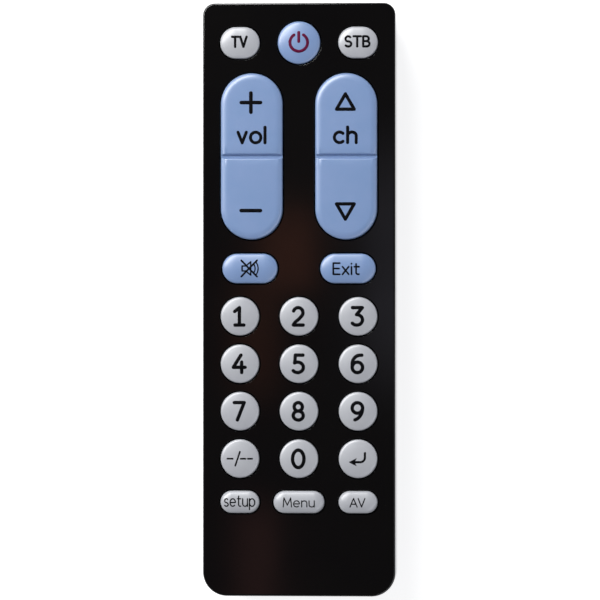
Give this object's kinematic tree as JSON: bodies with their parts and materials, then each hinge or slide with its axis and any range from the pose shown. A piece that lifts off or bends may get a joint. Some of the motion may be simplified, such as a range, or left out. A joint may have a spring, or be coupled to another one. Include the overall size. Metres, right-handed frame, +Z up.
{
  "type": "remote control",
  "caption": "Slim hand-held remote control with round and pill-shaped keys, two long rockers and a sliding battery door.",
  "frame": {"origin": "middle of the back, on the plane that the remote rests on", "axes": "+Z up through the keys, +Y along the body towards the infrared nose, +X to the right as the keys are read"},
  "size_m": [0.048, 0.1476, 0.0207],
  "materials": {
    "gloss_black": "polished moulded ABS",
    "matte_black": "fine spark-eroded moulded ABS",
    "smoked_window": "polished infrared-passing polycarbonate",
    "mat_silicone": "satin moulded silicone",
    "blue_silicone": "satin moulded silicone",
    "grey_silicone": "satin moulded silicone",
    "board_laminate": "solder-masked glass laminate",
    "emitter_resin": "clear tinted epoxy",
    "chip_resin": "moulded epoxy",
    "ceramic": "dipped ceramic",
    "tinned_metal": "tinned",
    "contact_metal": "nickel plated",
    "cell_jacket": "printed metal jacket, plain",
    "screw_steel": "black zinc plated"
  },
  "bodies": {
    "body": {"top_case": "gloss_black", "bottom_case": "matte_black", "ir_window": "smoked_window", "keypad_mat": "mat_silicone", "circuit_board": "board_laminate", "ir_emitter": "emitter_resin", "controller_chip": "chip_resin", "chip_leads": "tinned_metal", "resonator": "ceramic", "capacitor": "ceramic", "transistor": "chip_resin", "chip_resistors": "chip_resin", "battery_left": "cell_jacket", "battery_right": "cell_jacket", "contact_positive": "contact_metal", "contact_negative": "contact_metal", "contact_bridge": "contact_metal", "case_screw": "screw_steel"},
    "door": {"battery_door": "matte_black"},
    "key_tv": {"key_tv": "grey_silicone"},
    "key_power": {"key_power": "blue_silicone"},
    "key_box": {"key_box": "grey_silicone"},
    "rocker_volume": {"rocker_volume": "blue_silicone"},
    "rocker_channel": {"rocker_channel": "blue_silicone"},
    "key_mute": {"key_mute": "blue_silicone"},
    "key_exit": {"key_exit": "blue_silicone"},
    "key_setup": {"key_setup": "grey_silicone"},
    "key_menu": {"key_menu": "grey_silicone"},
    "key_av": {"key_av": "grey_silicone"},
    "key_1": {"key_1": "grey_silicone"},
    "key_2": {"key_2": "grey_silicone"},
    "key_3": {"key_3": "grey_silicone"},
    "key_4": {"key_4": "grey_silicone"},
    "key_5": {"key_5": "grey_silicone"},
    "key_6": {"key_6": "grey_silicone"},
    "key_7": {"key_7": "grey_silicone"},
    "key_8": {"key_8": "grey_silicone"},
    "key_9": {"key_9": "grey_silicone"},
    "key_dash": {"key_dash": "grey_silicone"},
    "key_0": {"key_0": "grey_silicone"},
    "key_return": {"key_return": "grey_silicone"}
  },
  "joints": [
    {"name": "door_slide", "type": "slide", "parent": "body", "child": "door", "axis": [0, -1, 0], "range_m": [0, 0.066]},
    {"name": "key_tv_press", "type": "slide", "parent": "body", "child": "key_tv", "axis": [0, 0, -1], "range_m": [0, 0.00095], "stiffness_N_per_m": 1200},
    {"name": "key_power_press", "type": "slide", "parent": "body", "child": "key_power", "axis": [0, 0, -1], "range_m": [0, 0.00095], "stiffness_N_per_m": 1200},
    {"name": "key_box_press", "type": "slide", "parent": "body", "child": "key_box", "axis": [0, 0, -1], "range_m": [0, 0.00095], "stiffness_N_per_m": 1200},
    {"name": "rocker_volume_tip", "type": "hinge", "parent": "body", "child": "rocker_volume", "pos_m": [-0.01175, 0.03562, 0.0163], "axis": [1, 0, 0], "range_deg": [-2.5, 2.5], "stiffness_Nm_per_rad": 0.3},
    {"name": "rocker_channel_tip", "type": "hinge", "parent": "body", "child": "rocker_channel", "pos_m": [0.01175, 0.03562, 0.0163], "axis": [1, 0, 0], "range_deg": [-2.5, 2.5], "stiffness_Nm_per_rad": 0.3},
    {"name": "key_mute_press", "type": "slide", "parent": "body", "child": "key_mute", "axis": [0, 0, -1], "range_m": [0, 0.00095], "stiffness_N_per_m": 1200},
    {"name": "key_exit_press", "type": "slide", "parent": "body", "child": "key_exit", "axis": [0, 0, -1], "range_m": [0, 0.00095], "stiffness_N_per_m": 1200},
    {"name": "key_setup_press", "type": "slide", "parent": "body", "child": "key_setup", "axis": [0, 0, -1], "range_m": [0, 0.00095], "stiffness_N_per_m": 1200},
    {"name": "key_menu_press", "type": "slide", "parent": "body", "child": "key_menu", "axis": [0, 0, -1], "range_m": [0, 0.00095], "stiffness_N_per_m": 1200},
    {"name": "key_av_press", "type": "slide", "parent": "body", "child": "key_av", "axis": [0, 0, -1], "range_m": [0, 0.00095], "stiffness_N_per_m": 1200},
    {"name": "key_1_press", "type": "slide", "parent": "body", "child": "key_1", "axis": [0, 0, -1], "range_m": [0, 0.00095], "stiffness_N_per_m": 1200},
    {"name": "key_2_press", "type": "slide", "parent": "body", "child": "key_2", "axis": [0, 0, -1], "range_m": [0, 0.00095], "stiffness_N_per_m": 1200},
    {"name": "key_3_press", "type": "slide", "parent": "body", "child": "key_3", "axis": [0, 0, -1], "range_m": [0, 0.00095], "stiffness_N_per_m": 1200},
    {"name": "key_4_press", "type": "slide", "parent": "body", "child": "key_4", "axis": [0, 0, -1], "range_m": [0, 0.00095], "stiffness_N_per_m": 1200},
    {"name": "key_5_press", "type": "slide", "parent": "body", "child": "key_5", "axis": [0, 0, -1], "range_m": [0, 0.00095], "stiffness_N_per_m": 1200},
    {"name": "key_6_press", "type": "slide", "parent": "body", "child": "key_6", "axis": [0, 0, -1], "range_m": [0, 0.00095], "stiffness_N_per_m": 1200},
    {"name": "key_7_press", "type": "slide", "parent": "body", "child": "key_7", "axis": [0, 0, -1], "range_m": [0, 0.00095], "stiffness_N_per_m": 1200},
    {"name": "key_8_press", "type": "slide", "parent": "body", "child": "key_8", "axis": [0, 0, -1], "range_m": [0, 0.00095], "stiffness_N_per_m": 1200},
    {"name": "key_9_press", "type": "slide", "parent": "body", "child": "key_9", "axis": [0, 0, -1], "range_m": [0, 0.00095], "stiffness_N_per_m": 1200},
    {"name": "key_dash_press", "type": "slide", "parent": "body", "child": "key_dash", "axis": [0, 0, -1], "range_m": [0, 0.00095], "stiffness_N_per_m": 1200},
    {"name": "key_0_press", "type": "slide", "parent": "body", "child": "key_0", "axis": [0, 0, -1], "range_m": [0, 0.00095], "stiffness_N_per_m": 1200},
    {"name": "key_return_press", "type": "slide", "parent": "body", "child": "key_return", "axis": [0, 0, -1], "range_m": [0, 0.00095], "stiffness_N_per_m": 1200}
  ]
}
